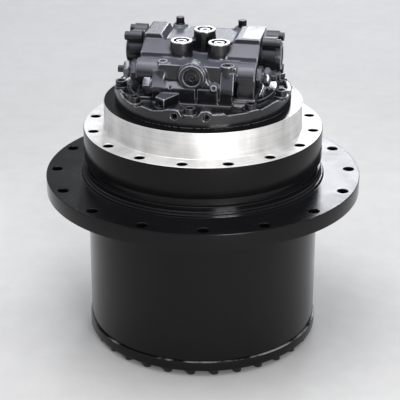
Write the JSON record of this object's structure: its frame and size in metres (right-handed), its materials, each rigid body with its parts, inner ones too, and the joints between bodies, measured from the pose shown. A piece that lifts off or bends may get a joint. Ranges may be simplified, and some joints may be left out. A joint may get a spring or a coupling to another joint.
{
  "type": "excavator final drive",
  "caption": "Excavator final drive: planetary reduction hub with sprocket and frame flanges, swash-plate travel motor, parking brake and counterbalance valve block.",
  "frame": {"origin": "on the drive's axis, on the floor that the end cover stands on", "axes": "+Z along the drive's axis, from the end cover up to the valve block; -Y towards the side of the valve block with the front boss; +X to the right of a viewer who faces that side"},
  "size_m": [0.65, 0.65, 0.6555],
  "materials": {
    "gloss_black": "gloss black paint",
    "satin_black": "satin black paint",
    "casting_black": "semi-gloss black paint on a cast skin",
    "turned_steel": "bright turned",
    "gear_steel": "ground and oiled",
    "bolt_steel": "black oxide",
    "bronze": "machined bronze",
    "seal_rubber": "matte black"
  },
  "bodies": {
    "hub": {"hub_drum": "gloss_black", "end_cover": "satin_black", "oil_fill_plug": "bolt_steel", "oil_drain_plug": "bolt_steel", "thrust_pad": "bronze", "ring_gear": "gear_steel", "lower_bearing_outer_race": "turned_steel", "upper_bearing_outer_race": "turned_steel", "hub_seal_ring": "turned_steel", "hub_seal_rubber": "seal_rubber"},
    "case": {"spindle_case": "turned_steel", "lower_bearing_inner_race": "turned_steel", "upper_bearing_inner_race": "turned_steel", "bearing_nut": "gear_steel", "case_seal_ring": "turned_steel", "case_seal_rubber": "seal_rubber", "second_carrier": "gear_steel", "lower_shaft_bearing": "turned_steel", "upper_shaft_bearing": "turned_steel", "shaft_seal": "seal_rubber", "valve_plate": "bronze", "brake_steel_plate_1": "gear_steel", "brake_spring": "gear_steel", "rear_cover": "casting_black", "left_port_plug": "bolt_steel", "right_port_plug": "bolt_steel", "centre_port_plug": "bolt_steel", "front_port_plug": "bolt_steel", "left_hex_plug": "bolt_steel", "right_hex_plug": "bolt_steel", "left_end_cap": "casting_black", "right_end_cap": "casting_black", "left_spool_spring": "turned_steel", "right_spool_spring": "turned_steel", "left_relief_valve": "turned_steel", "right_relief_valve": "turned_steel"},
    "first_carrier": {"first_carrier": "gear_steel", "second_sun_gear": "gear_steel"},
    "motor_shaft": {"first_sun_shaft": "gear_steel", "motor_shaft": "gear_steel", "shaft_coupling": "gear_steel", "cylinder_block": "gear_steel", "pistons_and_retainer": "turned_steel", "brake_friction_plate_1": "bronze", "brake_friction_plate_2": "bronze"},
    "bearing_rollers": {"lower_bearing_rollers": "turned_steel", "upper_bearing_rollers": "turned_steel"},
    "swash_plate": {"swash_plate": "gear_steel"},
    "speed_change_piston": {"speed_change_piston": "turned_steel"},
    "brake_piston": {"brake_piston": "gear_steel"},
    "spool": {"counterbalance_spool": "turned_steel"},
    "first_planet_1": {"first_planet_1": "gear_steel"},
    "first_planet_2": {"first_planet_2": "gear_steel"},
    "first_planet_3": {"first_planet_3": "gear_steel"},
    "second_planet_1": {"second_planet_1": "gear_steel"},
    "second_planet_2": {"second_planet_2": "gear_steel"},
    "second_planet_3": {"second_planet_3": "gear_steel"}
  },
  "joints": [
    {"name": "hub_turn", "type": "hinge", "parent": "hub", "child": "case", "pos_m": [0, 0, 0], "axis": [0, 0, 1], "continuous": true},
    {"name": "first_carrier_turn", "type": "hinge", "parent": "case", "child": "first_carrier", "pos_m": [0, 0, 0], "axis": [0, 0, 1], "continuous": true},
    {"name": "motor_turn", "type": "hinge", "parent": "case", "child": "motor_shaft", "pos_m": [0, 0, 0], "axis": [0, 0, 1], "continuous": true},
    {"name": "roller_turn", "type": "hinge", "parent": "case", "child": "bearing_rollers", "pos_m": [0, 0, 0], "axis": [0, 0, 1], "continuous": true},
    {"name": "first_planet_1_turn", "type": "hinge", "parent": "first_carrier", "child": "first_planet_1", "pos_m": [0, 0.10725, 0], "axis": [0, 0, 1], "continuous": true},
    {"name": "first_planet_2_turn", "type": "hinge", "parent": "first_carrier", "child": "first_planet_2", "pos_m": [-0.09288, -0.05362, 0], "axis": [0, 0, 1], "continuous": true},
    {"name": "first_planet_3_turn", "type": "hinge", "parent": "first_carrier", "child": "first_planet_3", "pos_m": [0.09288, -0.05362, 0], "axis": [0, 0, 1], "continuous": true},
    {"name": "second_planet_1_turn", "type": "hinge", "parent": "case", "child": "second_planet_1", "pos_m": [0.09288, 0.05362, 0], "axis": [0, 0, 1], "continuous": true},
    {"name": "second_planet_2_turn", "type": "hinge", "parent": "case", "child": "second_planet_2", "pos_m": [-0.09288, 0.05362, 0], "axis": [0, 0, 1], "continuous": true},
    {"name": "second_planet_3_turn", "type": "hinge", "parent": "case", "child": "second_planet_3", "pos_m": [0, -0.10725, 0], "axis": [0, 0, 1], "continuous": true},
    {"name": "swash_tilt", "type": "hinge", "parent": "case", "child": "swash_plate", "pos_m": [0, 0, 0.29], "axis": [1, 0, 0], "range_deg": [0, 7]},
    {"name": "speed_piston_slide", "type": "slide", "parent": "case", "child": "speed_change_piston", "axis": [0, 0, 1], "range_m": [0, 0.00767]},
    {"name": "brake_release", "type": "slide", "parent": "case", "child": "brake_piston", "axis": [0, 0, 1], "range_m": [0, 0.0025], "stiffness_N_per_m": 20000, "deforming": ["brake_spring"]},
    {"name": "spool_slide", "type": "slide", "parent": "case", "child": "spool", "axis": [1, 0, 0], "range_m": [-0.007, 0.007], "stiffness_N_per_m": 4000}
  ],
  "couplings": [
    {"joint": "first_carrier_turn", "follows": "hub_turn", "ratio": 4.5},
    {"joint": "motor_turn", "follows": "hub_turn", "ratio": 29.25},
    {"joint": "roller_turn", "follows": "hub_turn", "ratio": -0.52959},
    {"joint": "first_planet_1_turn", "follows": "hub_turn", "ratio": -14.143},
    {"joint": "first_planet_2_turn", "follows": "hub_turn", "ratio": -14.143},
    {"joint": "first_planet_3_turn", "follows": "hub_turn", "ratio": -14.143},
    {"joint": "second_planet_1_turn", "follows": "hub_turn", "ratio": -2.5714},
    {"joint": "second_planet_2_turn", "follows": "hub_turn", "ratio": -2.5714},
    {"joint": "second_planet_3_turn", "follows": "hub_turn", "ratio": -2.5714},
    {"joint": "speed_piston_slide", "follows": "swash_tilt", "m_per_rad": 0.0627}
  ]
}
